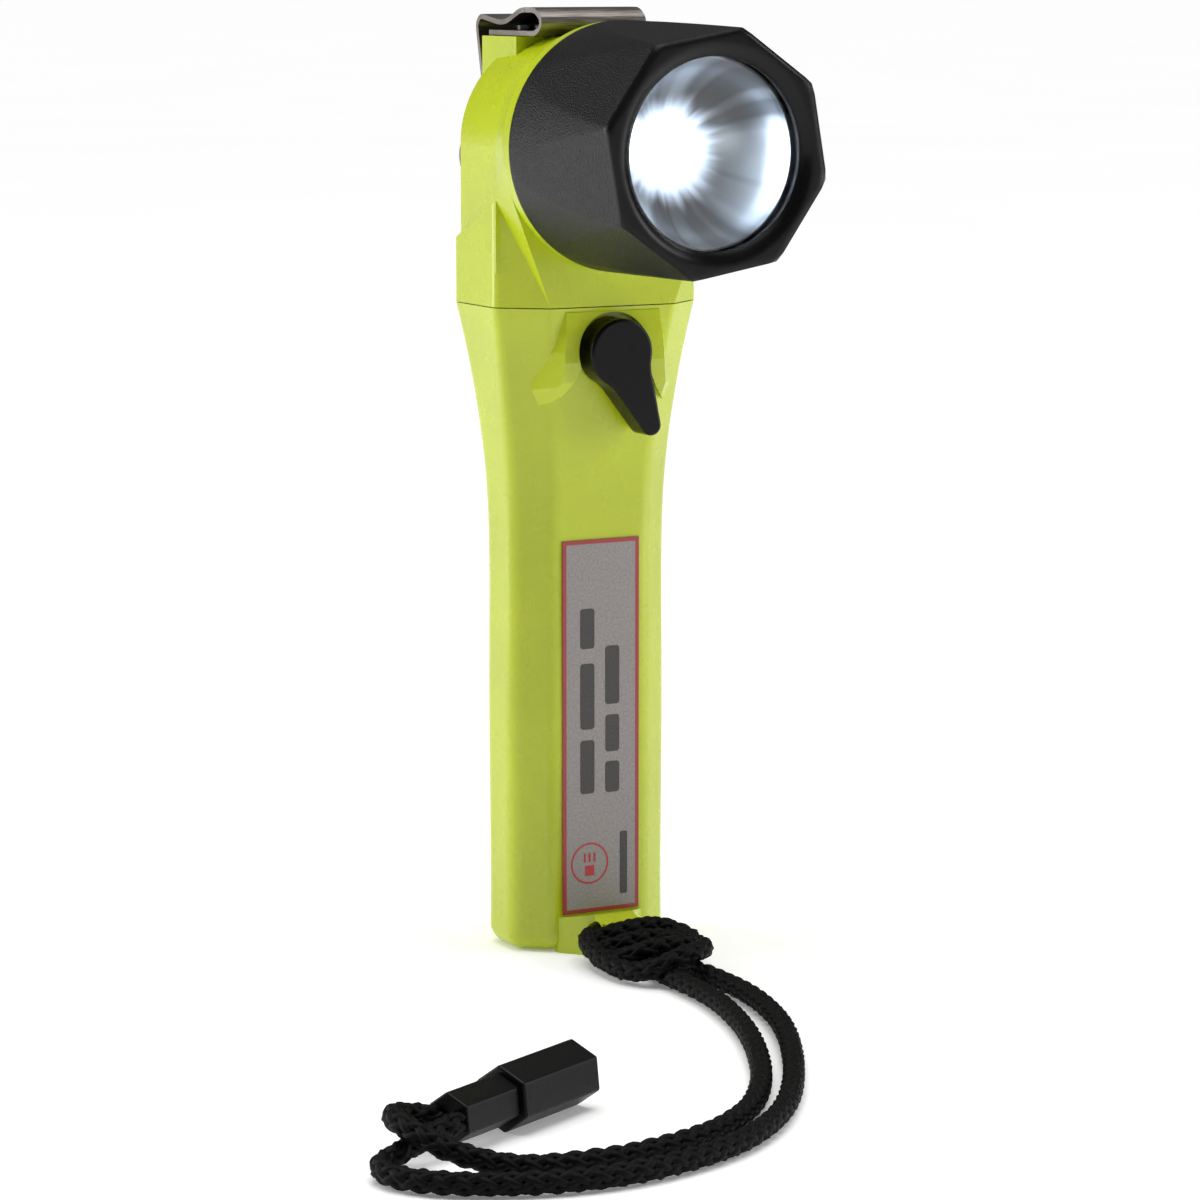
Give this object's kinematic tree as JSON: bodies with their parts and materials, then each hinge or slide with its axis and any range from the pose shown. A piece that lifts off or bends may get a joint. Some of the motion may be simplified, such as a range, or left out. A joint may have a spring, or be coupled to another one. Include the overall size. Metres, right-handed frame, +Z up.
{
  "type": "firefighter flashlight",
  "caption": "Right-angle hand light with a tall grip, round head and screw-on octagonal shroud, thumb lever, spring clip and a looped cord with a hexagonal cord end.",
  "frame": {"origin": "middle of the flat base of the grip", "axes": "+Z up the grip, -Y the way the beam points, X across; the clip is on the +Y side"},
  "size_m": [0.1354, 0.1911, 0.1905],
  "materials": {
    "lime_plastic": "high-visibility yellow-green moulding, satin gloss",
    "label": "grey printed plate with a dark red border",
    "black_plastic": "smooth black moulding",
    "shroud_plastic": "black, fine spark-eroded texture, smooth rim",
    "spring_steel": "tempered spring steel",
    "screw_steel": "bright screw heads",
    "cord": "black twisted and plaited cord",
    "cord_end_plastic": "black moulded cord end",
    "cell": "plain sleeved cell",
    "brass": "bright contact",
    "rubber": "black seal",
    "board": "glass-fibre board",
    "lead": "insulated lead",
    "heat_sink": "machined",
    "led": "lit lamp dome",
    "lens": "clear polycarbonate window",
    "reflector": "vacuum-metallised bowl"
  },
  "bodies": {
    "case": {"battery_case": "lime_plastic", "label_plate": "label", "head_housing": "lime_plastic", "clip_base": "spring_steel", "clip_screws": "screw_steel", "lanyard_loop": "cord", "lanyard_knot": "cord", "lanyard_cord_a": "cord", "lanyard_cord_b": "cord", "cord_end_sleeve": "cord_end_plastic", "cord_end_cap": "cord_end_plastic", "battery_1": "cell", "battery_2": "cell", "battery_3": "cell", "battery_4": "cell", "base_contact": "brass", "base_springs": "spring_steel", "case_conductor": "brass", "switch_contact": "brass", "switch_seal": "rubber", "case_seal": "rubber", "contact_board": "board", "contact_leaves": "brass", "driver_board": "board", "lamp_leads": "lead", "heat_sink": "heat_sink", "led_board": "board", "led_dome": "led"},
    "switch": {"switch_lever": "black_plastic", "switch_spindle": "black_plastic", "switch_retainer": "spring_steel", "switch_wiper": "brass"},
    "lamp_stack": {"lens": "lens", "lens_seal": "rubber", "lens_clamp_ring": "black_plastic", "reflector": "reflector"},
    "shroud": {"shroud": "shroud_plastic"},
    "clip": {"clip_leaf": "spring_steel"}
  },
  "joints": [
    {"name": "switch_turn", "type": "hinge", "parent": "case", "child": "switch", "pos_m": [0, -0.0144, 0.1228], "axis": [0, -1, 0], "range_deg": [-50, 0]},
    {"name": "lamp_slide", "type": "slide", "parent": "case", "child": "lamp_stack", "axis": [0, -1, 0], "range_m": [0, 0.00301]},
    {"name": "shroud_turn", "type": "hinge", "parent": "lamp_stack", "child": "shroud", "pos_m": [0, -0.04, 0.1635], "axis": [0, -1, 0], "range_deg": [0, 720]},
    {"name": "clip_flex", "type": "hinge", "parent": "case", "child": "clip", "pos_m": [0, -0.0006, 0.19], "axis": [1, 0, 0], "range_deg": [0, 7], "stiffness_Nm_per_rad": 3}
  ],
  "couplings": [
    {"joint": "lamp_slide", "follows": "shroud_turn", "m_per_rad": 0.00023873}
  ]
}
